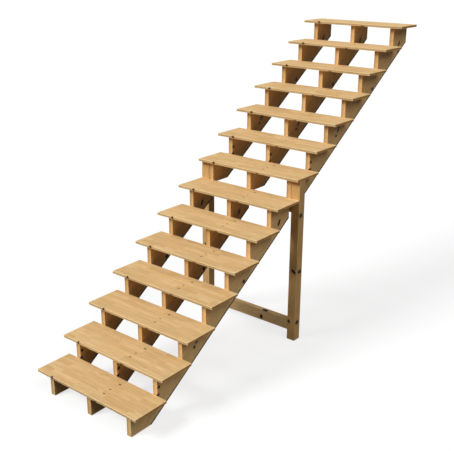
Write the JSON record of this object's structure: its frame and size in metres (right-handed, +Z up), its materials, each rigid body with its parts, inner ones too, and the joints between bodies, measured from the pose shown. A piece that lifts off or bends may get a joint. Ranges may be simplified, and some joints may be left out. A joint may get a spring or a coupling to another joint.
{
  "type": "outdoor staircase",
  "caption": "Open-riser timber stair with overhanging plank treads on notched stringers, the upper stringer lengths standing on a post and rail frame at mid-run.",
  "frame": {"origin": "on the floor, at the centre of the stair's outline in plan", "axes": "+X to the right when climbing, +Y the way up, +Z up"},
  "size_m": [1, 3.589, 2.421],
  "materials": {
    "tread_wood": "planed laminated pine, unfinished",
    "stringer_wood": "planed pine, unfinished",
    "frame_wood": "planed pine with dark knots, unfinished"
  },
  "bodies": {
    "root": {"lower_stringer_left": "stringer_wood", "lower_stringer_centre": "stringer_wood", "lower_stringer_right": "stringer_wood", "upper_stringer_left": "stringer_wood", "upper_stringer_centre": "stringer_wood", "upper_stringer_right": "stringer_wood", "post_left": "frame_wood", "post_right": "frame_wood", "foot_rail": "frame_wood", "low_rail": "frame_wood", "tread_01": "tread_wood", "tread_02": "tread_wood", "tread_03": "tread_wood", "tread_04": "tread_wood", "tread_05": "tread_wood", "tread_06": "tread_wood", "tread_07": "tread_wood", "tread_08": "tread_wood", "tread_09": "tread_wood", "tread_10": "tread_wood", "tread_11": "tread_wood", "tread_12": "tread_wood", "tread_13": "tread_wood", "tread_14": "tread_wood"}
  },
  "joints": []
}
